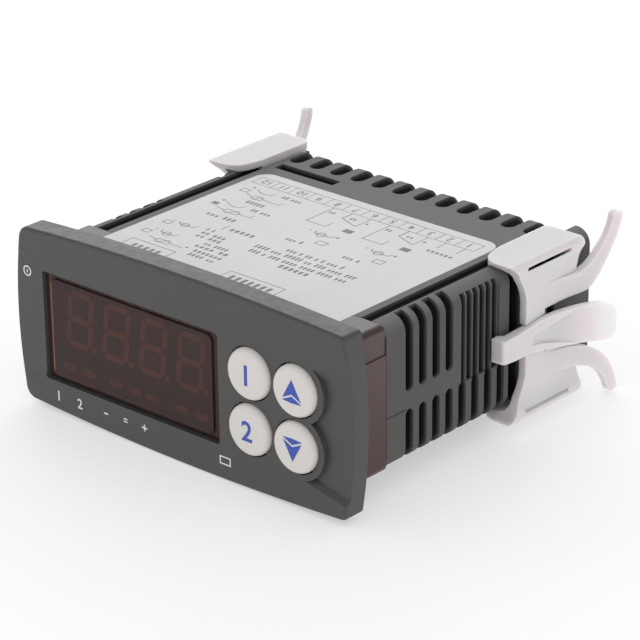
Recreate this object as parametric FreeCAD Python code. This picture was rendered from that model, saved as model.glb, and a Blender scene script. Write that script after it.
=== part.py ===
import FreeCAD, Part
import os, math
from FreeCAD import Vector as V

# Panel-mounting temperature controller with its two side brackets.
# Frame: origin at the middle of the front frame's seating face, where it
# meets the panel. +X to the right seen from the front, +Y back into the
# cabinet, +Z up. Millimetres.

os.makedirs("parts", exist_ok=True)

# ---------------------------------------------------------------- dimensions
FRONT_W, FRONT_H = 78.0, 35.0      # front frame, over its bowed sides
BOW_SIDE, BOW_TOP = 1.5, 1.2       # how far the sides and the top bow out
BEZEL_T = 4.4                      # front frame thickness, y = -4.4 .. 0
FACE_T = 1.8                       # front wall of the frame
SKIRT = 2.0                        # its side wall
EDGE_R = 0.6                       # rounding of the front edge

CASE_W, CASE_H = 70.0, 26.5        # case and collar, behind the panel
CASE_Y0, CASE_Y1 = 9.0, 64.0       # case front and back
WALL = 2.0
CASE_R = 2.8                       # rounding along the case's long edges

WIN = (-32.3, 9.8, -11.1, 9.3)     # window opening x0, x1, z0, z1
PANE = (-30.9, 7.75, -10.4, 8.1)   # raised pane in it
PANE_Y, PANE_RIM_Y = -3.7, -3.3    # front of the pane and of the rim round it
DISP_Y = -1.6                      # front of the digits and lamps

KEY_X = (17.05, 27.2)              # key columns
KEY_Z = (4.2, -5.95)               # key rows
KEY_D, KEY_HOLE = 9.2, 9.75
KEY_TOP, KEY_TRAVEL = -5.45, 0.8

GROOVE = (29.5, 31.8)              # guide groove beside the top plateau
GROOVE_D = 1.1
SLOT_W, SLOT_P, SLOT_Y0 = 2.0, 3.46, 14.9   # side vents: width, pitch, first middle
RACK = (28.4, 38.6, -3.9, 12.3)    # ratchet rack field y0, y1, z0, z1
RACK_P, RACK_DEPTH, RACK_LAND = 1.76, 1.15, 0.42
CHANNEL = (41.3, 44.3)             # full-height slot ahead of the bracket
LABEL = (27.9, 0.6, 48.4, 0.15)    # half width, front, rear, thickness: sunk flush

PCB_Z0, PCB_Z1 = -7.7, -6.1        # main board, underside and top
TERM_N, TERM_P = 12, 5.0           # terminals and their pitch
FIN_T, FIN_Y0, FIN_TIP = 2.1, 55.4, 63.2
FIN_Z0 = 4.4

FL_Z0, FL_Z1 = 13.4, 14.75         # bracket flanges, above and below
WEB_X0, WEB_X1 = 35.4, 36.9        # bracket web
LEV_DZ = -0.35                     # the lever lies a little below mid height
LEFT_SHIFT = 5.25                  # left bracket sits three rack teeth further back

# ---------------------------------------------------------------- helpers
def box(x0, x1, y0, y1, z0, z1):
    return Part.makeBox(x1 - x0, y1 - y0, z1 - z0, V(x0, y0, z0))

def cyl_y(r, y0, y1, x, z):
    return Part.makeCylinder(r, y1 - y0, V(x, y0, z), V(0, 1, 0))

def cyl_z(r, z0, z1, x, y):
    return Part.makeCylinder(r, z1 - z0, V(x, y, z0), V(0, 0, 1))

def poly(pts, direction, length):
    w = Part.makePolygon([V(*p) for p in pts] + [V(*pts[0])])
    return Part.Face(w).extrude(V(*direction) * length)

def xz(pts, y0, y1):
    return poly([(x, y0, z) for x, z in pts], (0, 1, 0), y1 - y0)

def yz(pts, x0, x1):
    return poly([(x0, y, z) for y, z in pts], (1, 0, 0), x1 - x0)

def xy(pts, z0, z1):
    return poly([(x, y, z0) for x, y in pts], (0, 0, 1), z1 - z0)

def outline(items, f, direction, length):
    """Solid from a closed outline; a list among the items is a smooth curve through its points."""
    edges, first, last = [], None, None
    for it in items:
        pts = [V(*f(*q)) for q in (it if isinstance(it, list) else [it])]
        if last is not None and (pts[0] - last).Length > 1e-6:
            edges.append(Part.makeLine(last, pts[0]))
        if len(pts) > 1:
            c = Part.BSplineCurve()
            c.interpolate(pts)
            edges.append(c.toShape())
        if first is None:
            first = pts[0]
        last = pts[-1]
    if (first - last).Length > 1e-6:
        edges.append(Part.makeLine(last, first))
    return Part.Face(Part.Wire(edges)).extrude(V(*direction) * length)

def mirror_x(s):
    return s.mirror(V(0, 0, 0), V(1, 0, 0))

def mirror_z(s):
    return s.mirror(V(0, 0, 0), V(0, 0, 1))

def round_edges(s, r, test):
    es = [e for e in s.Edges if test(e)]
    return s.makeFillet(r, es) if es else s

def along(e, axis):
    if len(e.Vertexes) < 2:
        return False
    d = e.Vertexes[1].Point - e.Vertexes[0].Point
    if d.Length < 1e-6:
        return False
    d.normalize()
    return abs(abs(getattr(d, axis)) - 1) < 1e-6

def rbox(x0, x1, y0, y1, z0, z1, r, axis):
    s = box(x0, x1, y0, y1, z0, z1)
    return s.makeFillet(r, [e for e in s.Edges if along(e, axis)])

def loft(pa, pb):
    a = Part.makePolygon([V(*p) for p in pa] + [V(*pa[0])])
    b = Part.makePolygon([V(*p) for p in pb] + [V(*pb[0])])
    return Part.makeLoft([a, b], True, True)

def one(s):
    s = s.removeSplitter()
    if s.ShapeType != "Solid" and len(s.Solids) == 1:
        s = s.Solids[0]
    return s

SAVED = {}
def save(name, s):
    s = one(s)
    if not s.isValid():
        print("INVALID", name)
    s.exportStep("parts/%s.step" % name)
    SAVED[name] = s
    b = s.BoundBox
    print("%-22s solids %2d vol %9.1f  x %.2f..%.2f y %.2f..%.2f z %.2f..%.2f" % (
        name, len(s.Solids), s.Volume, b.XMin, b.XMax, b.YMin, b.YMax, b.ZMin, b.ZMax))

# ---------------------------------------------------------------- front frame
def bowed(inset, y0, y1, r_left, r_right):
    """Plate with all four sides bowed out, corners rounded."""
    hx, hz = FRONT_W / 2 - inset, FRONT_H / 2 - inset
    cx, cz = hx - BOW_SIDE, hz - BOW_TOP
    c = [V(-cx, y0, cz), V(cx, y0, cz), V(cx, y0, -cz), V(-cx, y0, -cz)]
    m = [V(0, y0, hz), V(hx, y0, 0), V(0, y0, -hz), V(-hx, y0, 0)]
    edges = [Part.Arc(c[i], m[i], c[(i + 1) % 4]).toShape() for i in range(4)]
    s = Part.Face(Part.Wire(edges)).extrude(V(0, y1 - y0, 0))
    left = [e for e in s.Edges if along(e, "y") and e.Vertexes[0].X < 0]
    s = s.makeFillet(r_left, left)
    right = [e for e in s.Edges if along(e, "y") and e.Vertexes[0].X > hx - BOW_SIDE - 0.01]
    return s.makeFillet(r_right, right)

def make_bezel():
    s = bowed(0, -BEZEL_T, 0, 2.4, 1.0)
    # front edge: soft along the bottom, crisper elsewhere
    front = [e for e in s.Edges if e.BoundBox.YMax < -BEZEL_T + 1e-6]
    s = s.makeFillet(EDGE_R, front)
    # hollow behind the front wall
    s = s.cut(bowed(SKIRT, -BEZEL_T + FACE_T, 1, 1.2, 0.6))
    # window opening
    s = s.cut(rbox(WIN[0], WIN[1], -9, 1, WIN[2], WIN[3], 0.8, "y"))
    # key holes
    for x in KEY_X:
        for z in KEY_Z:
            s = s.cut(cyl_y(KEY_HOLE / 2, -9, 1, x, z))
    # shallow scoop to the left of the window, with sloping walls above and below
    s = s.cut(dish([(-41, 13.15, 0.34), (-31.9, 9.05, 0.3), (-31.9, -10.2, 0.3), (-41, -16.0, 0.34)], 1.8, 1.7))
    # deeper grip hollow right of the keys, leaving a scallop of wall round each key
    keep = cyl_y(6.0, -9, 1, KEY_X[1], KEY_Z[0]).fuse(cyl_y(6.0, -9, 1, KEY_X[1], KEY_Z[1])).fuse(
        box(10, 28.2, -9, 1, -20, 20))
    s = s.cut(dish([(24.0, 5.8, 1.12), (41.0, 13.9, 0.85), (41.0, -14.3, 0.85), (24.0, -10.6, 1.12)], 3.0, 1.0).cut(keep))
    return s

def dish(c, run_top, run_bottom):
    """Four-cornered hollow in the front face. c: (x, z at the face, depth) for the
    top and bottom corners; the top and bottom walls slope in by run per depth."""
    up = 0.6
    yf = -BEZEL_T
    zm = sum(q[1] for q in c) / 4.0
    a, b = [], []
    for x, z, d in c:
        k = -run_top if z > zm else run_bottom
        a.append((x, yf - up, z - k * up))
        b.append((x, yf + d, z + k * d))
    if (c[1][0] - c[0][0]) * (c[2][1] - c[1][1]) < 0:
        a.reverse(); b.reverse()
    return hull_loft(a, b)

def hull_loft(a, b):
    """Closed solid between two six-sided outlines, every face split into flat triangles."""
    n = len(a)
    faces = []
    def tri(p, q, r):
        faces.append(Part.Face(Part.makePolygon([V(*p), V(*q), V(*r), V(*p)])))
    for i in range(1, n - 1):
        tri(a[0], a[i + 1], a[i])
        tri(b[0], b[i], b[i + 1])
    for i in range(n):
        j = (i + 1) % n
        tri(a[i], a[j], b[j])
        tri(a[i], b[j], b[i])
    sh = Part.makeShell(faces)
    so = Part.makeSolid(sh)
    if so.Volume < 0:
        so.reverse()
    return so

save("front_bezel", make_bezel())

def label_blank(grow, up):
    """Plan of the terminal label as a plate; grown for the recess it lies in."""
    w, y0, y1, t = LABEL
    b = box(-w - grow, w + grow, y0 - grow, y1 + grow, CASE_H / 2 - t, CASE_H / 2 + up)
    return b.makeFillet(3.0, [e for e in b.Edges if along(e, "z") and e.Vertexes[0].Y > 40])

# ---------------------------------------------------------------- tinted frame
def make_tinted():
    # plate nested inside the bezel's skirt
    s = bowed(SKIRT + 0.15, -BEZEL_T + FACE_T + 0.05, 0, 1.1, 0.5)
    # raised pane through the window opening
    s = s.fuse(rbox(WIN[0] + 0.12, WIN[1] - 0.12, PANE_RIM_Y, -1.5, WIN[2] + 0.12, WIN[3] - 0.12, 0.7, "y"))
    pane = rbox(PANE[0], PANE[1], PANE_Y, -1.5, PANE[2], PANE[3], 1.3, "y")
    s = s.fuse(pane.makeFillet(0.15, [e for e in pane.Edges if e.BoundBox.YMax < PANE_Y + 1e-6]))
    # collar through the panel
    outer = rbox(-CASE_W / 2, CASE_W / 2, -1.0, CASE_Y0, -CASE_H / 2, CASE_H / 2, 1.6, "y")
    s = s.fuse(outer)
    # inner tongue that slips into the case
    s = s.fuse(rbox(-32.85, 32.85, CASE_Y0 - 1, CASE_Y0 + 4.5, -11.1, 11.1, 0.8, "y"))
    # hollow
    s = s.cut(rbox(-31.6, 31.6, -1.0, 20, -9.9, 9.9, 0.8, "y"))
    s = s.cut(rbox(-33.2, 33.2, -1.0, 5.85, -11.4, 11.4, 0.8, "y"))
    # pocket for the display behind the pane
    s = s.cut(box(-32.6, 10.2, -2.55, 0, -10.9, 8.6))
    # clearance for the keys
    s = s.cut(rbox(11.9, 32.4, -9, 0.5, -11.1, 9.35, 4.6, "y"))
    # shallow step on both sides of the collar
    for sx in (1, -1):
        b = box(34.75, 36, 0.3, CASE_Y0 + 0.1, 8.1, 14)
        s = s.cut(b if sx > 0 else mirror_x(b))
    return s.cut(label_blank(0.05, 1.0))

save("tinted_frame", make_tinted())

# ---------------------------------------------------------------- keys and keypad
def make_key(x, z):
    s = cyl_y(KEY_D / 2, KEY_TOP, -1.0, x, z)
    top = [e for e in s.Edges if e.BoundBox.YMax < KEY_TOP + 1e-6]
    s = s.makeFillet(1.1, top)
    s = s.fuse(cyl_y(5.0, -2.4, -1.0, x, z))
    s = s.fuse(cyl_y(3.0, -1.2, 3.3, x, z))
    return s

KEYS = [("key_one", KEY_X[0], KEY_Z[0]), ("key_up", KEY_X[1], KEY_Z[0]),
        ("key_two", KEY_X[0], KEY_Z[1]), ("key_down", KEY_X[1], KEY_Z[1])]
for n, x, z in KEYS:
    save(n, make_key(x, z))

mat = rbox(12.3, 32.0, 3.0, 4.2, -10.6, 8.9, 1.0, "y")
for n, x, z in KEYS:
    mat = mat.cut(cyl_y(3.5, 2, 5, x, z))
save("keypad_mat", mat)

# ---------------------------------------------------------------- display
# one module behind the whole pane: four digits over a row of seven lamp windows
LED_X = (-29.3, -24.1, -17.8, -13.05, -8.75, -1.98, 2.9)
LED_Z, LED_W, LED_H = -9.15, 3.0, 1.3
blk = box(-31.4, 8.6, DISP_Y, 4.2, -10.6, 8.3)
lamps = []
for x in LED_X:
    blk = blk.cut(box(x - LED_W / 2 - 0.06, x + LED_W / 2 + 0.06, -3, 5, LED_Z - LED_H / 2 - 0.06, LED_Z + LED_H / 2 + 0.06))
    lamps.append(box(x - LED_W / 2, x + LED_W / 2, DISP_Y + 0.05, 4.2, LED_Z - LED_H / 2, LED_Z + LED_H / 2))
save("display_block", blk)
save("indicator_leds", Part.makeCompound(lamps))

board = box(-32.9, 32.9, 4.2, 5.8, -11.0, 11.0)
save("display_board", board)
save("processor_chip", rbox(-6, 6, 5.8, 7.3, -2, 8.0, 0.4, "y"))

# ---------------------------------------------------------------- case
def top_tools(sx):
    """Guide groove and the side cut-outs of one side."""
    t = []
    g = box(GROOVE[0], GROOVE[1], CASE_Y0 - 1, CASE_Y1 + 1, CASE_H / 2 - GROOVE_D, CASE_H / 2 + 1)
    t.append(g)
    t.append(mirror_z(g))
    # vents: four above, eight below, with round inner ends, wrapping over the edge
    for i in range(12):
        y = SLOT_Y0 + i * SLOT_P
        up = i < 4 or i > 8
        if up:
            s = box(32.3, 36, y - SLOT_W / 2, y + SLOT_W / 2, 0.6, 20)
            s = s.fuse(Part.makeCylinder(SLOT_W / 2, 4, V(32.3, y, 0.6), V(1, 0, 0)))
            t.append(s)
        if i < 8 or i > 8:
            s = box(32.3, 36, y - SLOT_W / 2, y + SLOT_W / 2, -20, -4.6)
            s = s.fuse(Part.makeCylinder(SLOT_W / 2, 4, V(32.3, y, -4.6), V(1, 0, 0)))
            t.append(s)
    # full-height slot just ahead of the bracket
    t.append(box(32.3, 36, CHANNEL[0], CHANNEL[1], -20, 20))
    # ratchet rack, sunk a little below the side
    t.append(box(34.75, 36, RACK[0], RACK[1], RACK[2], RACK[3]))
    n = int(round((RACK[1] - RACK[0]) / RACK_P))
    for k in range(n):
        y0 = RACK[0] + 0.05 + k * (RACK[1] - RACK[0] - 0.1) / n
        y1 = y0 + (RACK[1] - RACK[0] - 0.1) / n - RACK_LAND
        t.append(xy([(34.8, y0), (34.8, y1), (34.8 - RACK_DEPTH, y1 - 0.25), (34.8 - RACK_DEPTH, y0 + 0.15)], RACK[2], RACK[3]))
    out = t[0]
    out = out.multiFuse(t[1:])
    return out if sx > 0 else mirror_x(out)

def make_case():
    s = rbox(-CASE_W / 2, CASE_W / 2, CASE_Y0 + 0.12, CASE_Y1, -CASE_H / 2, CASE_H / 2, CASE_R, "y")
    inner = rbox(-CASE_W / 2 + WALL, CASE_W / 2 - WALL, CASE_Y0 - 1, CASE_Y1 + 1, -CASE_H / 2 + WALL, CASE_H / 2 - WALL, 1.0, "y")
    s = s.cut(inner)
    # thicker bed under the guide grooves and under the rack
    for sx in (1, -1):
        b = box(29.0, 31.9, CASE_Y0 + 5.2, FIN_Y0, 10.3, 12.0)
        r = box(32.2, 33.4, RACK[0] - 0.6, RACK[1] + 0.6, RACK[2] - 0.6, RACK[3] - 1)
        for q in (b, mirror_z(b), r):
            s = s.fuse(q if sx > 0 else mirror_x(q))
        # rails that hold the edges of the main board
        for z0, z1 in ((PCB_Z0 - 1.0, PCB_Z0 - 0.1), (PCB_Z1 + 0.1, PCB_Z1 + 1.0)):
            q = box(30.6, 33.2, 15.0, 50.0, z0, z1)
            s = s.fuse(q if sx > 0 else mirror_x(q))
    # comb over the terminals: thirteen fins joined by the top wall ahead of them
    zt = CASE_H / 2
    comb = box(-33.2, 33.2, 50.2, CASE_Y1, FIN_Z0, zt - 0.5)
    s = s.fuse(comb)
    prof = [(50.0, FIN_Z0 - 1), (CASE_Y1 + 1, FIN_Z0 - 1), (CASE_Y1 + 1, zt + 1), (50.0, zt + 1)]
    for k in range(TERM_N):
        x = (k - (TERM_N - 1) / 2.0) * TERM_P
        w = (TERM_P - FIN_T) / 2
        n = box(x - w, x + w, FIN_Y0 + w, CASE_Y1 + 1, FIN_Z0 - 1, zt + 1)
        n = n.fuse(cyl_z(w, FIN_Z0 - 1, zt + 1, x, FIN_Y0 + w))
        s = s.cut(n)
    # rear tips of the fins rounded over
    rr = 3.0
    tipcut = box(-30.9, 30.9, FIN_TIP - rr, CASE_Y1 + 1, zt - rr, zt + 1).cut(
        Part.makeCylinder(rr, 80, V(-40, FIN_TIP - rr, zt - rr), V(1, 0, 0)))
    s = s.cut(tipcut)
    s = s.cut(box(-30.9, 30.9, FIN_TIP, CASE_Y1 + 1, FIN_Z0 + 0.2, zt + 1))
    # long slot in the roof at the back left
    s = s.cut(box(-28.2, -13.9, 51.2, 53.6, 9, 20))
    for sx in (1, -1):
        s = s.cut(top_tools(sx))
    # rear lip below the terminal block
    s = s.fuse(box(-33.2, 33.2, 62.0, CASE_Y1, -11.6, -7.9))
    # fine parting line from the front edge of the case to the first vent
    for sx in (1, -1):
        q = box(34.75, 36, CASE_Y0, SLOT_Y0 - SLOT_W / 2, -3.62, -3.38)
        s = s.cut(q if sx > 0 else mirror_x(q))
    return s.cut(label_blank(0.05, 1.0))

save("case_body", make_case())

# ---------------------------------------------------------------- label
save("terminal_label", label_blank(0.0, 0.0))

# ---------------------------------------------------------------- electronics
save("main_board", box(-31.3, 31.3, 6.4, 61.0, PCB_Z0, PCB_Z1))
hdr = box(-13, 13, 5.8, 8.6, PCB_Z1, PCB_Z1 + 2.6)
save("board_header", hdr)

save("relay_one", rbox(6.0, 16.2, 27.0, 47.0, PCB_Z1, PCB_Z1 + 15.2, 0.5, "z"))
save("relay_two", rbox(18.6, 28.8, 27.0, 47.0, PCB_Z1, PCB_Z1 + 15.2, 0.5, "z"))
tr = box(-27.5, -9.5, 29.0, 45.0, PCB_Z1, PCB_Z1 + 3.0)
tr = tr.fuse(box(-24.0, -13.0, 29.0, 45.0, PCB_Z1 + 3.0, PCB_Z1 + 13.0))
tr = tr.fuse(rbox(-27.0, -10.0, 31.5, 42.5, PCB_Z1 + 3.0, PCB_Z1 + 11.5, 2.5, "z"))
save("supply_transformer", tr)
def can(x, y, r, h):
    s = cyl_z(r, PCB_Z1, PCB_Z1 + h, x, y)
    s = s.cut(cyl_z(r + 1, PCB_Z1 + 1.5, PCB_Z1 + 2.1, x, y).cut(cyl_z(r - 0.3, PCB_Z1, PCB_Z1 + 4, x, y)))
    return s
save("mains_capacitor", can(-23.0, 19.0, 5.0, 15.5))
save("output_capacitor", can(-9.5, 19.0, 4.0, 11.5))

# ---------------------------------------------------------------- terminals
TB = (-30.2, 30.2, 50.6, 61.6, PCB_Z1, 4.2)
tb = box(*TB)
tb = tb.fuse(box(TB[0], TB[1], 61.4, 62.6, PCB_Z1 + 0.8, 1.6))
clamps, screws = [], []
for k in range(TERM_N):
    x = (k - (TERM_N - 1) / 2.0) * TERM_P
    tb = tb.cut(cyl_y(1.95, 56.0, 65, x, -2.2))
    tb = tb.cut(box(x - 1.75, x + 1.75, 52.6, 58.6, -4.6, 6))
    c = box(x - 1.6, x + 1.6, 53.0, 58.2, -4.4, 0.4)
    c = c.cut(box(x - 1.1, x + 1.1, 53.6, 56.6, -3.8, 2))
    c = c.cut(cyl_y(1.15, 56, 59, x, -2.2))
    clamps.append(c)
    h = cyl_y(1.75, 59.2, 61.0, x, -2.2)
    h = h.cut(box(x - 2, x + 2, 60.2, 62, -2.5, -1.9))
    h = h.fuse(cyl_y(1.05, 55.2, 59.4, x, -2.2))
    screws.append(h)
save("terminal_block", tb)
save("terminal_clamps", Part.makeCompound(clamps))
save("terminal_screws", Part.makeCompound(screws))

# ---------------------------------------------------------------- brackets
PIV_X, PIV_Y, PIV_R = 36.15, 45.2, 0.55      # flexing neck of the ratchet lever
LEV_Z = 3.0

def fyz(x):
    return lambda y, z: (x, y, z)

def fxy(z):
    return lambda x, y: (x, y, z)

def fxz(y):
    return lambda x, z: (x, y, z)

UP, BACK, RIGHT = (0, 0, 1), (0, 1, 0), (1, 0, 0)

def lever_side(grow):
    """Side outline of the ratchet lever: slim at the pawl, a paddle with round corners at the tail."""
    top = [(36.0, 2.1), (38.0, 2.2), (41.0, 2.35), (43.8, 2.45), (46.0, 2.75), (48.4, 3.05), (53.0, 3.35), (56.0, 3.5), (58.3, 3.5), (59.5, 3.27), (60.2, 2.85), (60.6, 2.2), (60.9, 1.1), (61.0, 0.0)]
    up = [(y, z + grow + LEV_DZ) for y, z in top]
    dn = [(y, -z - grow + LEV_DZ) for y, z in reversed(top)]
    return outline([up[0], up[1:4], up[3:9], up[8:], dn[0:6], dn[5:11], dn[10:13], dn[13]], fyz(30), RIGHT, 20)

def make_bracket():
    # section of the C-shaped bracket, constant along y
    inner = [(33.3, FL_Z0), (34.5, 13.25), (35.35, 12.75), (35.6, 12.0), (35.45, 11.2), (WEB_X0, 10.4)]
    outer = [(WEB_X1, 10.0), (37.0, 11.0), (37.4, 12.0), (37.95, 12.85), (38.2, 13.6), (38.0, 14.35), (37.3, FL_Z1)]
    sec = outline([(29.9, FL_Z0), inner, (WEB_X0, 0), (WEB_X1, 0), outer, (29.9, FL_Z1)], fxz(30), BACK, 50)
    sec = sec.fuse(mirror_z(sec))
    # side view: the web's front edge swings forward into the flanges
    front = [(38.0, 15.4), (38.5, 14.5), (39.9, 13.1), (41.6, 11.4), (42.9, 9.4), (43.6, 7.6), (43.75, 6.0)]
    rear = [(57.1, 6.0), (57.3, 7.6), (58.0, 9.8), (58.35, 11.8), (58.2, 13.6), (57.8, 15.4)]
    sv = outline([front, (43.75, 0), (57.1, 0), rear], fyz(20), RIGHT, 30)
    sv = sv.fuse(mirror_z(sv))
    # plan view of the flanges
    horn = [(29.9, 44.9), (30.35, 42.4), (31.1, 40.3), (32.2, 39.1), (34.6, 38.4), (38.6, 37.5)]
    tail = [(36.4, 59.0), (35.6, 58.95), (33.4, 58.75), (31.4, 58.4), (30.5, 57.7)]
    pv = outline([horn, (45, 36.4), (45, 59.1), tail, (29.9, 57.0)], fxy(-20), UP, 40)
    s = sec.common(sv).common(pv)
    # lips that run in the guide grooves
    lip = box(30.0, 31.2, 44.8, 56.6, 12.55, FL_Z0 + 0.2)
    s = s.fuse(lip).fuse(mirror_z(lip))
    # curved grip arms: they rise out of the web and lean away from the case
    above = outline([(49.6, 4.1), (57.4, 4.2), [(59.0, 4.25), (60.4, 4.8), (61.7, 5.9), (63.0, 7.4), (65.4, 10.9), (66.8, 13.4), (67.7, 16.1)],
                     [(67.7, 16.1), (67.4, 16.85), (66.2, 17.1), (65.4, 16.7)],
                     [(65.4, 16.7), (64.6, 14.3), (63.3, 12.3), (61.5, 10.3), (59.8, 8.95), (58.4, 8.3), (56.6, 8.05)], (49.6, 8.25)], fyz(20), RIGHT, 30)
    below = outline([(49.6, -4.9), (55.0, -5.35), [(57.0, -5.8), (59.3, -6.45), (61.4, -7.5), (63.7, -9.3), (65.6, -11.5), (66.8, -14.0), (67.5, -16.6)],
                     [(67.5, -16.6), (67.0, -17.15), (65.7, -17.05), (65.1, -16.5)],
                     [(65.1, -16.5), (64.3, -14.4), (62.9, -12.5), (60.8, -11.0), (58.5, -10.05), (56.4, -9.5)], (49.6, -9.1)], fyz(20), RIGHT, 30)
    face = [(36.92, 49.6), (37.05, 51.5), (37.4, 54.0), (37.85, 57.0), (38.35, 61.0), (38.95, 65.0), (39.45, 69.5)]
    back = [(38.1, 69.5), (37.6, 65.0), (36.95, 61.0), (36.3, 58.0), (35.6, 56.0)]
    band = outline([(WEB_X0, 49.6), face, back, (WEB_X0, 55.0)], fxy(-25), UP, 50)
    s = s.fuse(above.common(band)).fuse(below.common(band))
    # slanting slits through the top and bottom bends
    a, b = (39.6, 14.33), (33.2, 10.25)
    h = 0.31
    slit = outline([(a[0], a[1] - h), (a[0], a[1] + h), (b[0], b[1] + h), (b[0], b[1] - h)], fxz(42.4), BACK, 12.2)
    s = s.cut(slit).cut(mirror_z(slit))
    # gate for the ratchet lever: close beside it at the pivot, open behind
    s = s.cut(lever_side(0.1).common(box(30, 50, 30, 49.2, -9, 9)))
    s = s.cut(box(30, 50, 48.9, 80, -4.35, 3.75))
    # the neck joins the two halves
    s = s.fuse(cyl_z(PIV_R, -LEV_Z - 0.6, LEV_Z + 0.6, PIV_X, PIV_Y))
    return s

def make_lever():
    face = [(37.95, 40.0), (37.8, 42.4), (37.75, 43.9)]
    curve = [(37.75, 43.9), (38.1, 47.6), (38.85, 51.0), (40.1, 54.4), (41.75, 57.6), (43.5, 60.5)]
    back = [(42.7, 61.1), (40.85, 58.6), (39.1, 55.4), (37.75, 51.8), (36.95, 48.6), (36.5, 46.6)]
    s = outline([(35.12, 36.4), (37.1, 36.4), [(37.1, 36.4), (37.6, 36.55), (37.85, 37.0)], face, curve, (43.5, 61.2), back,
                 (35.3, 45.9), (35.3, 44.4), (36.1, 43.6), (36.1, 38.6), (35.12, 37.9)], fxy(-9), UP, 18)
    s = s.common(lever_side(0.0))
    # sunk facet between the two ribs of the outer face; the ribs fade towards the tail
    floor = outline([[(37.9, 43.9), (37.42, 45.4), (37.4, 47.4), (37.85, 49.8), (38.85, 52.4), (40.15, 54.9), (41.5, 57.2)], (45, 57.2), (45, 43.9)], fxy(-9), UP, 18)
    lane = outline([[(43.9, 0.1), (47.0, 0.6), (50.0, 1.35), (53.0, 2.5), (55.4, 4.0)], (58, 5.5), (58, -5.5), [(58.0, -5.5), (55.4, -4.1), (53.0, -3.3), (50.0, -2.6), (47.0, -1.95), (43.9, -1.5)]], fyz(30), RIGHT, 20)
    s = s.cut(floor.common(lane))
    s = s.cut(cyl_z(PIV_R + 0.08, -9, 9, PIV_X, PIV_Y))
    return s

br = make_bracket()
lv = make_lever()
save("bracket_right", br)
save("lever_right", lv)
mv = FreeCAD.Vector(0, LEFT_SHIFT, 0)
for n, q in (("bracket_left", br), ("lever_left", lv)):
    m = mirror_x(q)
    m.translate(mv)
    save(n, m)
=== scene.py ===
import math
import bpy
import bmesh
from mathutils import Vector, Matrix


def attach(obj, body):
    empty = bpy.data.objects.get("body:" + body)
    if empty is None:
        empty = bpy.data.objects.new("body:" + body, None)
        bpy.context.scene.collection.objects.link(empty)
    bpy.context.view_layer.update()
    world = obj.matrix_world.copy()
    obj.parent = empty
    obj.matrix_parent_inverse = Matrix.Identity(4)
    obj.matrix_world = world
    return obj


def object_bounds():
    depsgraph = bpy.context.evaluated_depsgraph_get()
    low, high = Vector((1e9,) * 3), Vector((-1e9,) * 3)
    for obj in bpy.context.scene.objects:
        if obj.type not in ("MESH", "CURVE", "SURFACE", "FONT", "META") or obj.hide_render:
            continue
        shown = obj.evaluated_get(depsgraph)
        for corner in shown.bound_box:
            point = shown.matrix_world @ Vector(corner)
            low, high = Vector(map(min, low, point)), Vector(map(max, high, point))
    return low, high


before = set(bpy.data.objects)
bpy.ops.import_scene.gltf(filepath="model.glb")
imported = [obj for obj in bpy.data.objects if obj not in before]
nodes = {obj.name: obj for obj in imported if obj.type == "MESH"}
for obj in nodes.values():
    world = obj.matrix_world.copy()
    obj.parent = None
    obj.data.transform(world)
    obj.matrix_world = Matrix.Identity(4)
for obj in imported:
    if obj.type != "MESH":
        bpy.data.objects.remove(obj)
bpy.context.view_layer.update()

MM = 0.001

# ------------------------------------------------------------------ materials


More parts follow.
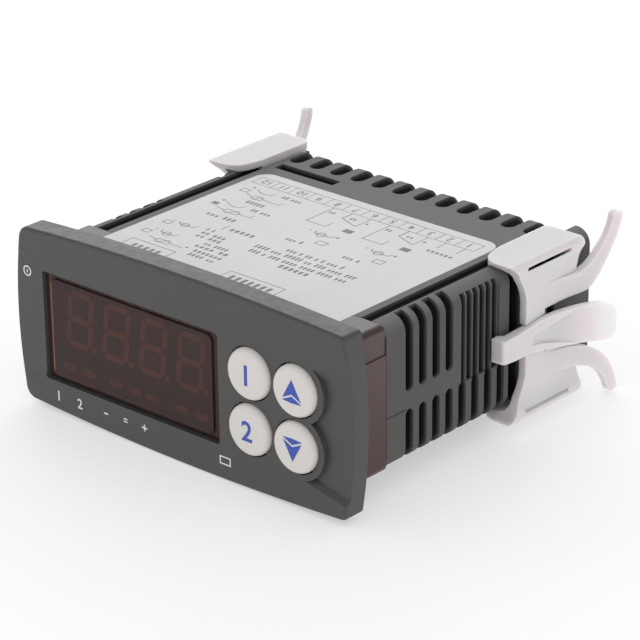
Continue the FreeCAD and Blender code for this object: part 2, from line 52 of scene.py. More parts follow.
class Tree:
    """Small helper round a material's node tree."""

    def __init__(self, name):
        self.mat = bpy.data.materials.new(name)
        self.mat.use_nodes = True
        self.t = self.mat.node_tree
        self.t.nodes.clear()
        self.out = self.t.nodes.new("ShaderNodeOutputMaterial")

    def n(self, kind, **kw):
        node = self.t.nodes.new("ShaderNode" + kind)
        for k, v in kw.items():
            setattr(node, k, v)
        return node

    def link(self, a, b):
        self.t.links.new(a, b)

    def coords(self):
        return self.n("TexCoord").outputs["Object"]

    def noise(self, vec, scale, detail=3.0, rough=0.55, stretch=None):
        if stretch:
            m = self.n("Mapping")
            m.inputs["Scale"].default_value = stretch
            self.link(vec, m.inputs["Vector"])
            vec = m.outputs["Vector"]
        k = self.n("TexNoise")
        k.inputs["Scale"].default_value = scale
        k.inputs["Detail"].default_value = detail
        k.inputs["Roughness"].default_value = rough
        self.link(vec, k.inputs["Vector"])
        return k.outputs["Fac"]

    def ramp(self, fac, stops):
        r = self.n("ValToRGB")
        e = r.color_ramp.elements
        e[0].position, e[0].color = stops[0][0], (*stops[0][1], 1)
        e[1].position, e[1].color = stops[-1][0], (*stops[-1][1], 1)
        for p, c in stops[1:-1]:
            x = e.new(p)
            x.color = (*c, 1)
        self.link(fac, r.inputs["Fac"])
        return r.outputs["Color"]

    def range(self, v, a, b, c, d):
        m = self.n("MapRange")
        for i, x in zip((1, 2, 3, 4), (a, b, c, d)):
            m.inputs[i].default_value = x
        self.link(v, m.inputs[0])
        return m.outputs[0]

    def math(self, op, a, b=None):
        m = self.n("Math", operation=op)
        for i, x in ((0, a), (1, b)):
            if x is None:
                continue
            if hasattr(x, "is_output"):
                self.link(x, m.inputs[i])
            else:
                m.inputs[i].default_value = x
        return m.outputs[0]

    def bump(self, height, strength, distance, normal=None):
        b = self.n("Bump")
        b.inputs["Strength"].default_value = strength
        b.inputs["Distance"].default_value = distance
        self.link(height, b.inputs["Height"])
        if normal is not None:
            self.link(normal, b.inputs["Normal"])
        return b.outputs["Normal"]

    def mix(self, fac, a, b, kind="MIX"):
        m = self.n("Mix", data_type="RGBA", blend_type=kind)
        for s, x in ((0, fac), (6, a), (7, b)):
            if hasattr(x, "is_output"):
                self.link(x, m.inputs[s])
            else:
                m.inputs[s].default_value = x if s == 0 else (*x, 1)
        return m.outputs[2]

    def principled(self, **kw):
        p = self.n("BsdfPrincipled")
        for k, v in kw.items():
            name = k.replace("_", " ")
            sock = p.inputs[name]
            if hasattr(v, "is_output"):
                self.link(v, sock)
            elif isinstance(v, tuple):
                sock.default_value = (*v, 1) if len(v) == 3 and sock.type == "RGBA" else v
            else:
                sock.default_value = v
        self.p = p
        self.link(p.outputs[0], self.out.inputs[0])
        return p


def moulded(name, base, rough=0.5, grain=0.012, grain_scale=9000.0, vary=0.10, spec=0.45, coat=0.0, sss=None, dust=0.0, sink=None, painted_top_shading=None, thin=None):
    """Moulded plastic with a spark-eroded grain, faint flow marks, slight colour drift, dust and hairlines."""
    t = Tree(name)
    v = t.coords()
    big = t.noise(v, 60.0, 2.0)
    mid = t.noise(v, 700.0, 3.0)
    fine = t.noise(v, grain_scale, 2.0, 0.6)
    lo = tuple(c * (1 - vary) for c in base)
    hi = tuple(c * (1 + vary) for c in base)
    col = t.ramp(big, [(0.3, lo), (0.7, hi)])
    col = t.mix(0.25, col, t.ramp(mid, [(0.35, lo), (0.65, hi)]))
    r = t.range(mid, 0.3, 0.7, rough - 0.05, rough + 0.06)
    nrm = t.bump(fine, 0.55, grain * MM)
    nrm = t.bump(mid, 0.25, 0.02 * MM, nrm)
    if dust:
        # pale specks and short rubbed hairlines
        speck = t.range(t.noise(v, 2600.0, 1.0, 0.4), 0.70, 0.76, 0.0, 1.0)
        hair = t.range(t.noise(v, 900.0, 2.0, 0.5, (0.12, 1.0, 2.6)), 0.68, 0.74, 0.0, 0.6)
        where = t.range(t.noise(v, 110.0, 2.0), 0.45, 0.65, 0.15, 1.0)
        worn = t.math("MULTIPLY", t.math("MAXIMUM", speck, hair), t.math("MULTIPLY", where, dust))
        col = t.mix(worn, col, tuple(min(1.0, c * 1.9 + 0.03) for c in base))
        r = t.math("ADD", r, t.math("MULTIPLY", worn, 0.12))
    if painted_top_shading:
        # painted light and shade on the faces that look up: a lighter top colour stands in for sheen, a darker one for
        # shade
        geo = t.n("NewGeometry")
        ns = t.n("SeparateXYZ")
        t.link(geo.outputs["Normal"], ns.inputs[0])
        painted_top_mask = t.range(ns.outputs["Z"], 0.35, 0.92, 0.0, 1.0)
        painted_top_mask = t.math("MULTIPLY", painted_top_mask, t.range(mid, 0.2, 0.6, 0.85, 1.0))
        col = t.mix(painted_top_mask, col, painted_top_shading)
    if thin:
        # painted light and shade in the nylon's colour: lighter in the thin free arms, where light shines through, and
        # greyer where the translucent moulding lies on the dark case, standing in for its shade
        painted_shade_over_case, free = thin
        tp = t.n("SeparateXYZ")
        t.link(v, tp.inputs[0])
        ax = t.math("ABSOLUTE", tp.outputs["X"])
        az = t.math("ABSOLUTE", tp.outputs["Z"])
        flange = t.math("MULTIPLY", t.range(ax, 36.6 * MM, 38.8 * MM, 1.0, 0.0), t.range(az, 12.6 * MM, 13.8 * MM, 0.0, 1.0))
        col = t.mix(flange, col, painted_shade_over_case)
        out = t.range(tp.outputs["Y"], 46.0 * MM, 58.0 * MM, 0.0, 1.0)
        out = t.math("MULTIPLY", out, t.range(ax, 38.4 * MM, 42.5 * MM, 0.0, 1.0))
        col = t.mix(out, col, free)
    if sink:
        # shade in the recesses: darker with depth below the rounded outer skin
        hx, hz, r, fy, fz, fr, d0, d1 = sink
        sep = t.n("SeparateXYZ")
        t.link(v, sep.inputs[0])

        def beyond(sock, lim, both=True):
            a = t.math("ABSOLUTE", sock) if both else sock
            return t.math("MAXIMUM", t.math("SUBTRACT", a, lim * MM), 0.0)

        def inside(a, b, rad):
            q = t.math("SQRT", t.math("ADD", t.math("MULTIPLY", a, a), t.math("MULTIPLY", b, b)))
            return t.math("SUBTRACT", rad * MM, q)

        skin = inside(beyond(sep.outputs["X"], hx - r), beyond(sep.outputs["Z"], hz - r), r)
        tips = inside(beyond(sep.outputs["Y"], fy - fr, False), beyond(sep.outputs["Z"], fz - fr, False), fr)
        dark = t.range(t.math("MINIMUM", skin, tips), d0 * MM, d1 * MM, 0.0, 1.0)
        col = t.mix(dark, col, tuple(c * 0.05 for c in base))
    kw = {}
    if sss:
        kw = dict(Subsurface_Weight=sss[0], Subsurface_Scale=sss[1])
    p = t.principled(Base_Color=col, Roughness=r, Normal=nrm, Specular_IOR_Level=spec, Coat_Weight=coat, **kw)
    if sss:
        p.inputs["Subsurface Radius"].default_value = sss[2]
    return t.mat


M = {}
# the bezel's up-facing faces are given a darker colour: painted shade
M["front"] = moulded("front_grey", (0.081, 0.080, 0.079), 0.42, 0.010, 9000, 0.04, 0.26, dust=0.3, painted_top_shading=(0.056, 0.056, 0.059))
# the case's up-facing faces are given a lighter colour: painted sheen; its recesses get painted shade
M["case"] = moulded("case_grey", (0.103, 0.101, 0.099), 0.40, 0.014, 7000, 0.05, 0.5, dust=0.6, sink=(35.0, 13.25, 2.8, 63.2, 13.25, 3.0, 0.10, 0.85),
                     painted_top_shading=(0.168, 0.166, 0.172))
M["key"] = moulded("key_cream", (0.735, 0.70, 0.675), 0.36, 0.004, 9000, 0.015, 0.5, sss=(0.25, 0.6 * MM, (1.0, 0.8, 0.6)))
# the nylon's two thin colours are painted shade over the case and painted light in the free arms
M["nylon"] = moulded("natural_nylon", (0.760, 0.728, 0.738), 0.48, 0.006, 5000, 0.015, 0.25, sss=(1.0, 1.3 * MM, (1.0, 0.72, 0.70)),
                      thin=((0.625, 0.612, 0.620), (0.975, 0.905, 0.925)))
M["rubber"] = moulded("keypad_rubber", (0.45, 0.45, 0.44), 0.75, 0.02, 4000, 0.05, 0.3)
M["black"] = moulded("display_black", (0.030, 0.028, 0.028), 0.55, 0.01, 6000, 0.10, 0.3)
M["chip"] = moulded("chip_black", (0.03, 0.03, 0.03), 0.6, 0.02, 6000, 0.1, 0.3)
M["relay"] = moulded("relay_blue", (0.05, 0.13, 0.32), 0.32, 0.006, 4000, 0.04, 0.5)
M["terminal"] = moulded("terminal_green", (0.035, 0.16, 0.075), 0.45, 0.012, 6000, 0.06, 0.4)


def make_tinted():
    """Brown see-through moulding: smoky in the window, cloudier and redder round the collar.

    The rear face of the pane is left clear so that the tint counts once for each
    way through; a warm line of piped light shows along the pane's left end."""
    t = Tree("tinted_brown")
    v = t.coords()
    sep = t.n("SeparateXYZ")
    t.link(v, sep.inputs[0])
    X, Y, Z = sep.outputs["X"], sep.outputs["Y"], sep.outputs["Z"]
    back = t.range(Y, -1.2 * MM, 0.8 * MM, 0.0, 1.0)
    inner = t.math("MULTIPLY", t.math("GREATER_THAN", Y, -3.0 * MM), t.math("LESS_THAN", Y, -1.9 * MM))
    flow = t.noise(v, 90.0, 3.0, 0.6, (1, 3, 1))
    fine = t.noise(v, 5000.0, 2.0)
    nrm = t.bump(flow, 0.10, 0.05 * MM)
    nrm = t.bump(fine, 0.08, 0.004 * MM, nrm)
    smoke = t.ramp(flow, [(0.3, (0.076, 0.048, 0.046)), (0.7, (0.092, 0.056, 0.052))])
    low = t.range(Z, -12.0 * MM, 11.0 * MM, 1.0, 0.0)
    collar = t.mix(low, (0.116, 0.080, 0.076), (0.088, 0.048, 0.042))
    # painted shade: the collar's up-facing faces are darkened
    geo = t.n("NewGeometry")
    ns = t.n("SeparateXYZ")
    t.link(geo.outputs["Normal"], ns.inputs[0])
    up_painted_shade = t.range(ns.outputs["Z"], 0.30, 0.85, 0.0, 1.0)
    collar = t.mix(up_painted_shade, collar, (0.040, 0.022, 0.021))
    col = t.mix(back, smoke, collar)
    # painted light: a warm line of light piped along the pane's left end, made opaque there so it shows
    painted_edge_light = t.math("MULTIPLY", t.range(X, -30.95 * MM, -30.45 * MM, 1.0, 0.0), t.math("GREATER_THAN", X, -31.2 * MM))
    painted_edge_light = t.math("MULTIPLY", painted_edge_light, t.math("LESS_THAN", Y, -3.3 * MM))
    col = t.mix(painted_edge_light, col, (0.60, 0.35, 0.18))
    p = t.principled(Base_Color=col, Roughness=t.range(back, 0, 1, 0.09, 0.30), Normal=nrm, Specular_IOR_Level=0.34)
    tr = t.n("BsdfTransparent")
    t.link(t.mix(inner, (0.50, 0.25, 0.15), (1.0, 1.0, 1.0)), tr.inputs[0])
    solid = t.math("MAXIMUM", t.range(back, 0, 1, 0.50, 0.86), painted_edge_light)
    solid = t.math("MULTIPLY", solid, t.math("SUBTRACT", 1.0, inner))
    mx = t.n("MixShader")
    t.link(solid, mx.inputs[0])
    t.link(tr.outputs[0], mx.inputs[1])
    t.link(p.outputs[0], mx.inputs[2])
    t.link(mx.outputs[0], t.out.inputs[0])
    return t.mat


M["tinted"] = make_tinted()


def make_label():
    t = Tree("label_film")
    v = t.coords()
    fibre = t.noise(v, 900.0, 4.0, 0.6)
    big = t.noise(v, 40.0, 2.0)
    col = t.ramp(big, [(0.3, (0.573, 0.565, 0.582)), (0.7, (0.616, 0.606, 0.625))])
    nrm = t.bump(fibre, 0.20, 0.01 * MM)
    nrm = t.bump(big, 0.25, 0.08 * MM, nrm)
    t.principled(Base_Color=col, Roughness=t.range(fibre, 0.3, 0.7, 0.40, 0.50), Normal=nrm, Specular_IOR_Level=0.18)
    return t.mat


M["label"] = make_label()


def make_board():
    """Green lacquered laminate with faint copper tracks under the lacquer."""
    t = Tree("board_green")
    v = t.coords()
    w = t.n("TexBrick")
    w.inputs["Scale"].default_value = 260.0
    w.inputs["Mortar Size"].default_value = 0.06
    w.inputs["Color1"].default_value = (0.012, 0.105, 0.04, 1)
    w.inputs["Color2"].default_value = (0.016, 0.125, 0.05, 1)
    w.inputs["Mortar"].default_value = (0.045, 0.20, 0.08, 1)
    t.link(v, w.inputs["Vector"])
    n = t.noise(v, 1500.0, 2.0)
    t.principled(Base_Color=w.outputs["Color"], Roughness=t.range(n, 0.3, 0.7, 0.25, 0.36), Normal=t.bump(w.outputs["Fac"], 0.3, 0.03 * MM), Coat_Weight=0.3)
    return t.mat


M["board"] = make_board()


def metal(name, col, rough, stretch=(1, 1, 1)):
    t = Tree(name)
    v = t.coords()
    n = t.noise(v, 2500.0, 3.0, 0.6, stretch)
    lo = tuple(c * 0.85 for c in col)
    t.principled(Base_Color=t.ramp(n, [(0.3, lo), (0.7, col)]), Metallic=1.0, Roughness=t.range(n, 0.3, 0.7, rough - 0.08, rough + 0.08), Normal=t.bump(n, 0.2, 0.01 * MM))
    return t.mat


M["screw"] = metal("screw_steel", (0.62, 0.62, 0.60), 0.33, (1, 6, 1))
M["clamp"] = metal("clamp_brass", (0.70, 0.60, 0.36), 0.36)


def make_winding():
    t = Tree("winding")
    v = t.coords()
    w = t.n("TexWave", wave_type="BANDS", bands_direction="Y")
    w.inputs["Scale"].default_value = 700.0
    w.inputs["Distortion"].default_value = 0.4
    t.link(v, w.inputs["Vector"])
    t.principled(Base_Color=t.ramp(w.outputs["Fac"], [(0.2, (0.30, 0.16, 0.03)), (0.8, (0.52, 0.33, 0.09))]), Roughness=0.35, Normal=t.bump(w.outputs["Fac"], 0.5, 0.05 * MM))
    return t.mat


M["winding"] = make_winding()


def make_sleeve():
    t = Tree("capacitor_sleeve")
    v = t.coords()
    n = t.noise(v, 300.0, 2.0)
    t.principled(Base_Color=t.ramp(n, [(0.3, (0.02, 0.03, 0.09)), (0.7, (0.03, 0.04, 0.12))]), Roughness=t.range(n, 0.3, 0.7, 0.22, 0.34), Normal=t.bump(n, 0.15, 0.05 * MM))
    return t.mat


M["sleeve"] = make_sleeve()


def ink(name, col, rough=0.45, emit=0.0):
    t = Tree(name)
    v = t.coords()
    n = t.noise(v, 4000.0, 3.0, 0.6)
    lo = tuple(c * 0.9 for c in col)
    t.principled(Base_Color=t.ramp(n, [(0.3, lo), (0.7, col)]), Roughness=t.range(n, 0.3, 0.7, rough - 0.05, rough + 0.05), Normal=t.bump(n, 0.2, 0.004 * MM))
    return t.mat


M["ink_white"] = ink("ink_white", (0.80, 0.80, 0.80))
M["ink_blue"] = ink("ink_blue", (0.035, 0.085, 0.46), 0.4)
M["ink_black"] = ink("ink_black", (0.055, 0.055, 0.06))
M["segment"] = ink("segment_off", (0.62, 0.50, 0.45), 0.5)
M["lamp"] = ink("lamp_off", (0.66, 0.50, 0.34), 0.45)

for node, key in {
    "front_bezel": "front", "tinted_frame": "tinted", "case_body": "case",
    "key_one": "key", "key_two": "key", "key_up": "key", "key_down": "key",
    "keypad_mat": "rubber", "display_block": "black", "indicator_leds": "lamp", "display_board": "board",
    "processor_chip": "chip", "main_board": "board", "board_header": "chip", "relay_one": "relay", "relay_two": "relay",
    "supply_transformer": "winding", "mains_capacitor": "sleeve", "output_capacitor": "sleeve",
    "terminal_block": "terminal", "terminal_clamps": "clamp", "terminal_screws": "screw", "terminal_label": "label",
    "bracket_right": "nylon", "bracket_left": "nylon", "lever_right": "nylon", "lever_left": "nylon",
}.items():
    me = nodes[node].data
    me.materials.clear()
    me.materials.append(M[key])

# ------------------------------------------------------------------ print and small pieces


def link(me, name, mat, body):
    o = bpy.data.objects.new(name, me)
    bpy.context.scene.collection.objects.link(o)
    me.materials.clear()
    me.materials.append(mat)
    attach(o, body)
    return o


class Sheet:
    """Flat shapes collected in 2-D, then laid on a plane as thin closed plates."""

    def __init__(self):
        self.polys = []

    def poly(self, pts):
        self.polys.append([(float(a), float(b)) for a, b in pts])

    def rect(self, x0, y0, x1, y1):
        self.poly([(x0, y0), (x1, y0), (x1, y1), (x0, y1)])

    def line(self, x0, y0, x1, y1, w):
        d = Vector((x1 - x0, y1 - y0))
        if d.length < 1e-9:
            return
        d.normalize()
        n = Vector((-d.y, d.x)) * (w / 2)
        e = d * (w / 2)
        a, b = Vector((x0, y0)) - e, Vector((x1, y1)) + e
        self.poly([a - n, b - n, b + n, a + n])

    def frame(self, x0, y0, x1, y1, w):
        h = w / 2
        self.rect(x0 - h, y0 - h, x1 + h, y0 + h)
        self.rect(x0 - h, y1 - h, x1 + h, y1 + h)
        self.rect(x0 - h, y0 + h, x0 + h, y1 - h)
        self.rect(x1 - h, y0 + h, x1 + h, y1 - h)

    def ring(self, cx, cy, r, w, a0=0.0, a1=360.0, n=28):
        k = max(3, int(n * abs(a1 - a0) / 360))
        for i in range(k):
            t0 = math.radians(a0 + (a1 - a0) * i / k)
            t1 = math.radians(a0 + (a1 - a0) * (i + 1) / k)
            ro, ri = r + w / 2, r - w / 2
            self.poly([(cx + ri * math.cos(t0), cy + ri * math.sin(t0)), (cx + ro * math.cos(t0), cy + ro * math.sin(t0)),
                       (cx + ro * math.cos(t1), cy + ro * math.sin(t1)), (cx + ri * math.cos(t1), cy + ri * math.sin(t1))])

    def text(self, s, cx, cy, h, turn=0.0, shear=0.0, squeeze=1.0, bold=0.0):
        """Plain figures from the built-in face, centred on (cx, cy), of height h."""
        cu = bpy.data.curves.new("t", "FONT")
        cu.body = s
        cu.size = 1.0
        cu.resolution_u = 3
        cu.shear = shear
        cu.offset = bold
        o = bpy.data.objects.new("t", cu)
        me = bpy.data.meshes.new_from_object(o)
        xs = [v.co.x for v in me.vertices]
        ys = [v.co.y for v in me.vertices]
        k = h / (max(ys) - min(ys))
        mx, my = (max(xs) + min(xs)) / 2, (max(ys) + min(ys)) / 2
        c, sn = math.cos(turn), math.sin(turn)
        pts = []
        for v in me.vertices:
            x, y = (v.co.x - mx) * k * squeeze, (v.co.y - my) * k
            pts.append((cx + x * c - y * sn, cy + x * sn + y * c))
        for f in me.polygons:
            self.polys.append([pts[i] for i in f.vertices])
        bpy.data.objects.remove(o)
        bpy.data.meshes.remove(me)
        bpy.data.curves.remove(cu)

    def build(self, name, place, thick, mat, body):
        """place(x, y, h) gives the 3-D point in millimetres."""
        bm = bmesh.new()
        for p in self.polys:
            area = sum(p[i][0] * p[(i + 1) % len(p)][1] - p[(i + 1) % len(p)][0] * p[i][1] for i in range(len(p)))
            if abs(area) < 1e-7:
                continue
            if area < 0:
                p = p[::-1]
            top = [bm.verts.new(Vector(place(x, y, thick)) * MM) for x, y in p]
            try:
                bm.faces.new(top)
            except ValueError:
                pass
        bmesh.ops.remove_doubles(bm, verts=bm.verts, dist=2e-6)
        # close each island with a skirt and an underside
        geom = bmesh.ops.extrude_face_region(bm, geom=bm.faces[:])
        return self._finish(bm, geom, name, place, thick, mat, body)

    def _finish(self, bm, geom, name, place, thick, mat, body):
        o = Vector(place(0, 0, 0)) * MM
        up = (Vector(place(0, 0, thick)) * MM) - o
        moved = [g for g in geom["geom"] if isinstance(g, bmesh.types.BMVert)]
        # the extruded copy stays on top and the first faces drop to the surface
        first = [v for v in bm.verts if v not in set(moved)]
        for v in first:
            v.co -= up
        bmesh.ops.recalc_face_normals(bm, faces=bm.faces[:])
        me = bpy.data.meshes.new(name)
        bm.to_mesh(me)
        bm.free()
        return link(me, name, mat, body)


FACE_Y = -4.4
front = lambda x, y, h: (x, FACE_Y - h, y)

# small white signs under the window and beside it
s = Sheet()
s.text("1", -29.26, -13.78, 1.9, bold=0.012)
s.text("2", -23.96, -13.80, 1.9, bold=0.012)
s.rect(-17.95, -13.82, -16.95, -13.52)
s.rect(-13.1, -13.86, -12.2, -13.62)
s.rect(-13.1, -13.36, -12.2, -13.12)
s.rect(-8.68, -13.64, -7.42, -13.36)
s.rect(-8.19, -14.13, -7.91, -13.64)
s.rect(-8.19, -13.36, -7.91, -12.87)
s.frame(9.8, -14.35, 12.1, -13.05, 0.24)
signs = s.build("front_signs", front, 0.02, M["ink_white"], "housing")

s = Sheet()
s.ring(-36.13, 8.1, 0.85, 0.26, n=28)
s.rect(-36.25, 7.78, -36.01, 8.42)
s.build("scoop_sign", lambda x, y, h: (x, -4.06 - h, y), 0.05, M["ink_white"], "housing")

# display segments
s = Sheet()


def digit(s, cx, cz, w, h, t, lean):
    g = 0.16
    sk = lambda x, z: (cx + x + (z) * lean, cz + z)
    hw, hh = w / 2, h / 2

    def hbar(z):
        s.poly([sk(-hw + g + t * 0.5, z), sk(-hw + g + t, z + t / 2), sk(hw - g - t, z + t / 2), sk(hw - g - t * 0.5, z), sk(hw - g - t, z - t / 2), sk(-hw + g + t, z - t / 2)])

    def vbar(x, z0, z1):
        s.poly([sk(x, z0 + g), sk(x + t / 2, z0 + g + t * 0.5), sk(x + t / 2, z1 - g - t * 0.5), sk(x, z1 - g), sk(x - t / 2, z1 - g - t * 0.5), sk(x - t / 2, z0 + g + t * 0.5)])

    for z in (hh - t / 2, 0.0, -hh + t / 2):
        hbar(z)
    for x in (-hw + t / 2, hw - t / 2):
        vbar(x, 0.0, hh - t / 2)
        vbar(x, -hh + t / 2, 0.0)
    s.ring(cx + hw + 0.75 - hh * lean, cz - hh + t / 2, 0.3, 0.6, n=16)


for cx in (-25.95, -17.05, -8.15, 0.75):
    digit(s, cx, 0.5, 6.4, 10.8, 1.15, 0.11)
DISP_Y = -1.6
s.build("display_segments", lambda x, y, h: (x, DISP_Y - h, y), 0.03, M["segment"], "housing")

# key signs
KT = -5.45
for body, cx, cz, sign in (("key_one", 17.05, 4.2, "1"), ("key_two", 17.05, -5.95, "2"), ("key_up", 27.2, 4.2, "up"), ("key_down", 27.2, -5.95, "down")):
    s = Sheet()
    if sign in "12":
        s.text(sign, cx, cz, 3.7, bold=0.018)
    else:
        k = 1 if sign == "up" else -1
        q = lambda x, z: (cx + x, cz + k * z)
        s.poly([q(-2.05, -1.35), q(0, 2.3), q(0, -0.35)][::1])
        s.poly([q(2.05, -1.35), q(0, -0.35), q(0, 2.3)])
        s.poly([q(-2.15, -1.75), q(0, -0.72), q(0, -1.9)])
        s.poly([q(2.15, -1.75), q(0, -1.9), q(0, -0.72)])
    s.build("sign_" + body, lambda x, y, h: (x, KT - h, y), 0.02, M["ink_blue"], body)

# ------------------------------------------------------------------ label print
LT = 13.25
flat = lambda x, y, h: (x, y, LT + h)
s = Sheet()
PI = math.pi
# number row, read from the back
Y0, Y1 = 43.05, 46.2
XL, XR = -26.2, 25.7
pitch = (XR - XL) / 12
s.frame(XL, Y0, XR, Y1, 0.14)
for i in range(1, 12):
    s.rect(XL + i * pitch - 0.07, Y0, XL + i * pitch + 0.07, Y1)
for i in range(12):
    s.text(str(12 - i), XL + (i + 0.5) * pitch, (Y0 + Y1) / 2, 1.7, turn=PI, bold=0.01)


def path(pts, w=0.16):
    for a, b in zip(pts, pts[1:]):
        s.line(a[0], a[1], b[0], b[1], w)


def words(x0, x1, y, h, lengths, w=0.26):
    """A line of print reduced to upright ticks in word groups."""
    total = sum(lengths) + 0.8 * (len(lengths) - 1)
    unit = (x1 - x0) / total
    x = x0
    for j, n in enumerate(lengths):
        for i in range(n):
            k = 0.62 + 0.38 * math.sin(3.1 * i + 1.7 * j + x0) ** 2
            wd = unit * 0.56
            s.rect(x + unit * 0.2, y - h / 2, x + unit * 0.2 + wd, y - h / 2 + h * k)
            x += unit
        x += unit * 0.8


def plus(x, y, r=0.42):
    s.rect(x - r, y - 0.1, x + r, y + 0.1)
    s.rect(x - 0.1, y - r, x + 0.1, y - 0.1)
    s.rect(x - 0.1, y + 0.1, x + 0.1, y + r)


def resistor(x0, x1, y, yl, xe, ye):
    """Lead, slanting box with a stroke through it, lead."""
    path([(x0 - 2.2, yl), (x0 - 0.4, y), (x0, y)])
    path([(x0, y - 0.6), (x1, y - 0.6), (x1, y + 0.6), (x0, y + 0.6), (x0, y - 0.6)])
    path([(x0 + 0.7, y - 0.9), (x1 - 0.7, y + 0.9)], 0.2)
    path([(x1, y), (xe - 0.2, y), (xe, ye)])


def meter(x, y, lead, r=0.82):
    """Ring with a stroke through it and a lead on each side."""
    s.ring(x, y, r, 0.2, n=24)
    s.line(x - r, y, x + r, y, 0.2)
    path([(x + r, y), (x + lead, y), (x + lead + 0.35, y + 1.0)])
    path([(x - r, y), (x - r - 0.7, y), (x - r - 1.0, y + 0.8)])
    s.rect(x - 3.3, y + 0.5, x - 2.7, y + 0.66)


def square(x, y, fill=False, a=1.0, b=0.72):
    if fill:
        s.rect(x - a, y - b, x + a, y + b)
    else:
        s.frame(x - a, y - b, x + a, y + b, 0.17)


# two switch diagrams in the middle, each with a square, a meter and its captions
for dx in (0.0, 13.1):
    path([(-6.05 + dx, 43.0), (-6.05 + dx, 35.3), (-1.55 + dx, 35.3), (-1.55 + dx, 37.1)])
    words(-5.6 + dx, -4.1 + dx, 41.1, 1.0, [2])
    path([(-1.75 + dx, 43.0), (-1.75 + dx, 40.2), (2.0 + dx, 38.8)], 0.2)
    path([(2.0 + dx, 38.8), (2.6 + dx, 38.8), (2.6 + dx, 43.0)])
    words(-0.7 + dx, 0.9 + dx, 41.1, 1.0, [2])
    words(3.1 + dx, 3.9 + dx, 41.0, 1.0, [1])
    square(3.15 + dx, 36.1, True)
    meter(0.55 + dx, 31.9, 2.2)
    plus(3.8 + dx, 32.6)
    square(3.2 + dx, 29.0)
    words(-3.1 + dx, 0.8 + dx, 26.9, 1.25, [3, 1])
# supply lead and caption
path([(19.8, 43.0), (19.8, 40.3)])
path([(24.0, 43.0), (24.0, 40.4)])
words(19.0, 24.9, 38.6, 1.25, [6])
# caption block below the diagrams
words(0.6, 13.7, 23.0, 1.35, [3, 1, 2, 1, 1, 3, 1])
words(-4.9, 18.2, 20.9, 1.35, [4, 3, 5, 2, 3, 4, 3])
words(-4.4, 17.9, 18.8, 1.35, [3, 1, 3, 4, 4, 4, 3])
words(4.3, 11.2, 16.8, 1.35, [6])
# input symbols down the left side
square(-24.35, 39.3, a=0.8, b=0.65)
plus(-23.9, 41.2, 0.36)
path([(-22.8, 40.9), (-21.6, 40.1), (-20.2, 39.8), (-18.9, 40.2), (-18.5, 41.2)])
words(-16.9, -12.2, 41.0, 1.2, [2, 3])
resistor(-20.9, -18.8, 37.6, 38.3, -14.4, 38.7)
words(-20.4, -16.1, 35.3, 1.25, [5])
square(-24.15, 31.2, True, a=0.75, b=0.6)
plus(-23.9, 33.2, 0.36)
path([(-22.9, 32.9), (-21.7, 32.2), (-20.2, 31.8), (-19.0, 32.2), (-18.6, 33.2)])
words(-16.9, -12.2, 32.8, 1.2, [2, 3])
resistor(-20.4, -17.3, 29.7, 30.0, -14.3, 30.8)
words(-22.0, -15.1, 26.8, 1.25, [3, 3])
path([(-14.6, 22.6), (-14.45, 24.6)], 0.2)
words(-13.4, -7.5, 23.6, 1.3, [5])
square(-24.3, 19.1, a=0.8, b=0.65)
meter(-20.85, 19.9, 2.0, 0.75)
words(-16.6, -14.6, 21.1, 1.1, [1, 1])
words(-16.4, -10.6, 19.5, 1.1, [2, 3])
words(-16.2, -10.2, 17.9, 1.1, [2, 3])
square(-24.3, 13.8, a=0.8, b=0.65)
meter(-20.45, 14.9, 1.7, 0.75)
words(-12.3, -6.8, 16.0, 1.1, [2, 4])
words(-13.1, -5.2, 14.4, 1.1, [4, 2])
resistor(-20.0, -17.1, 11.9, 12.4, -14.0, 12.0)
plus(-13.4, 12.6, 0.34)
words(-11.6, -4.9, 12.5, 1.1, [7])
words(-11.3, -5.2, 10.8, 1.1, [4, 2])
# the two boxed captions at the front edge
s.frame(-23.6, 6.5, -13.3, 9.8, 0.16)
words(-21.9, -14.9, 8.1, 1.9, [5])
s.frame(-0.2, 6.3, 12.3, 9.8, 0.16)
words(1.0, 11.1, 8.0, 1.9, [7])
s.build("label_print", flat, 0.01, M["ink_black"], "housing")

# ------------------------------------------------------------------ floor, light, camera
lo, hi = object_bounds()
floor_me = bpy.data.meshes.new("floor")
R = 6.0
bm = bmesh.new()
z = lo.z
vs = [bm.verts.new((x, y, z)) for x, y in ((-R, -R), (R, -R), (R, R), (-R, R))]
bm.faces.new(vs)
bm.to_mesh(floor_me)
bm.free()
floor = bpy.data.objects.new("floor", floor_me)
bpy.context.scene.collection.objects.link(floor)
ft = Tree("floor_white")
n = ft.noise(ft.coords(), 3.0, 2.0)
fc = ft.ramp(n, [(0.3, (0.56, 0.56, 0.56)), (0.7, (0.575, 0.575, 0.575))])
# a light table: part of its white is its own glow, which keeps the shadow faint
ft.principled(Base_Color=fc, Roughness=0.9, Specular_IOR_Level=0.1, Emission_Color=(1.0, 1.0, 1.0), Emission_Strength=0.47)
floor_me.materials.append(ft.mat)

world = bpy.data.worlds.new("studio")
bpy.context.scene.world = world
world.use_nodes = True
bg = world.node_tree.nodes["Background"]
bg.inputs[0].default_value = (1.0, 1.0, 1.0, 1)
bg.inputs[1].default_value = 0.78


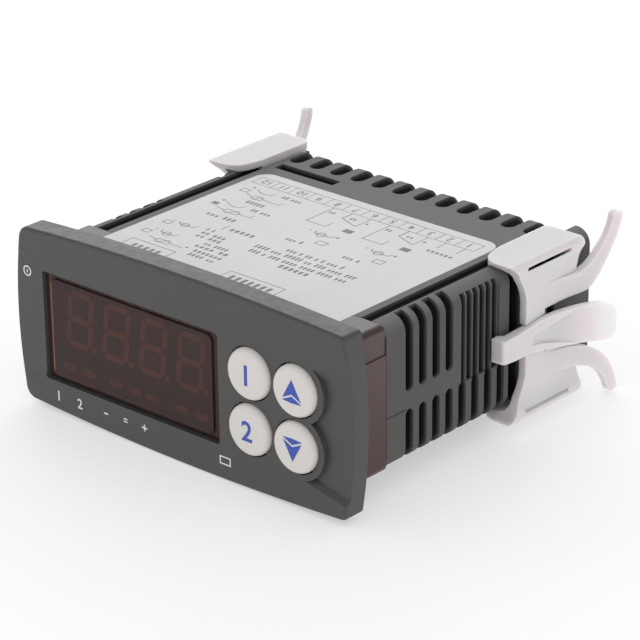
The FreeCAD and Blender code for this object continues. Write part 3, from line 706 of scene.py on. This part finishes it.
def area(name, loc, target, size, power, col=(1, 1, 1)):
    li = bpy.data.lights.new(name, "AREA")
    li.shape = "RECTANGLE"
    li.size, li.size_y = size
    li.energy = power
    li.color = col
    o = bpy.data.objects.new(name, li)
    bpy.context.scene.collection.objects.link(o)
    o.location = loc
    o.rotation_mode = "QUATERNION"
    o.rotation_quaternion = (Vector(loc) - Vector(target)).to_track_quat("Z", "Y")
    return o


ctr = (0, 0.03, 0)
sun_d = bpy.data.lights.new("sky_panel", "SUN")
sun_d.energy = 0.15
sun_d.angle = math.radians(75)
sun = bpy.data.objects.new("sky_panel", sun_d)
bpy.context.scene.collection.objects.link(sun)
sun.rotation_mode = "QUATERNION"
sun.rotation_quaternion = Vector((-0.10, 0.12, 1.0)).to_track_quat("Z", "Y")
area("back_panel", (-0.85, 1.0, 0.62), ctr, (1.6, 0.7), 8.0)

cam_d = bpy.data.cameras.new("camera")
cam = bpy.data.objects.new("camera", cam_d)
bpy.context.scene.collection.objects.link(cam)
bpy.context.scene.camera = cam
A, E, ROLL = math.radians(41.94), math.radians(23.11), math.radians(-0.69)
d = Vector((-math.sin(A) * math.cos(E), math.cos(A) * math.cos(E), -math.sin(E)))
r0 = Vector((math.cos(A), math.sin(A), 0))
u0 = r0.cross(d)
target = Vector((0, 30.0 - 4.4, 0))
C = target - d * 516.43 - r0 * (-4.05) - u0 * (-3.54)
r1 = r0 * math.cos(ROLL) + u0 * math.sin(ROLL)
u1 = -r0 * math.sin(ROLL) + u0 * math.cos(ROLL)
cam.matrix_world = Matrix((
    (r1.x, u1.x, -d.x, C.x * MM),
    (r1.y, u1.y, -d.y, C.y * MM),
    (r1.z, u1.z, -d.z, C.z * MM),
    (0, 0, 0, 1)))
cam_d.sensor_width = 36.0
cam_d.lens = 2951.65 * 36.0 / 640.0
cam_d.shift_x = (320 - 318.51) / 640.0
cam_d.shift_y = (294.06 - 320) / 640.0
cam_d.clip_start, cam_d.clip_end = 0.02, 30.0

bpy.context.scene.view_settings.view_transform = "Standard"
bpy.context.view_layer.update()
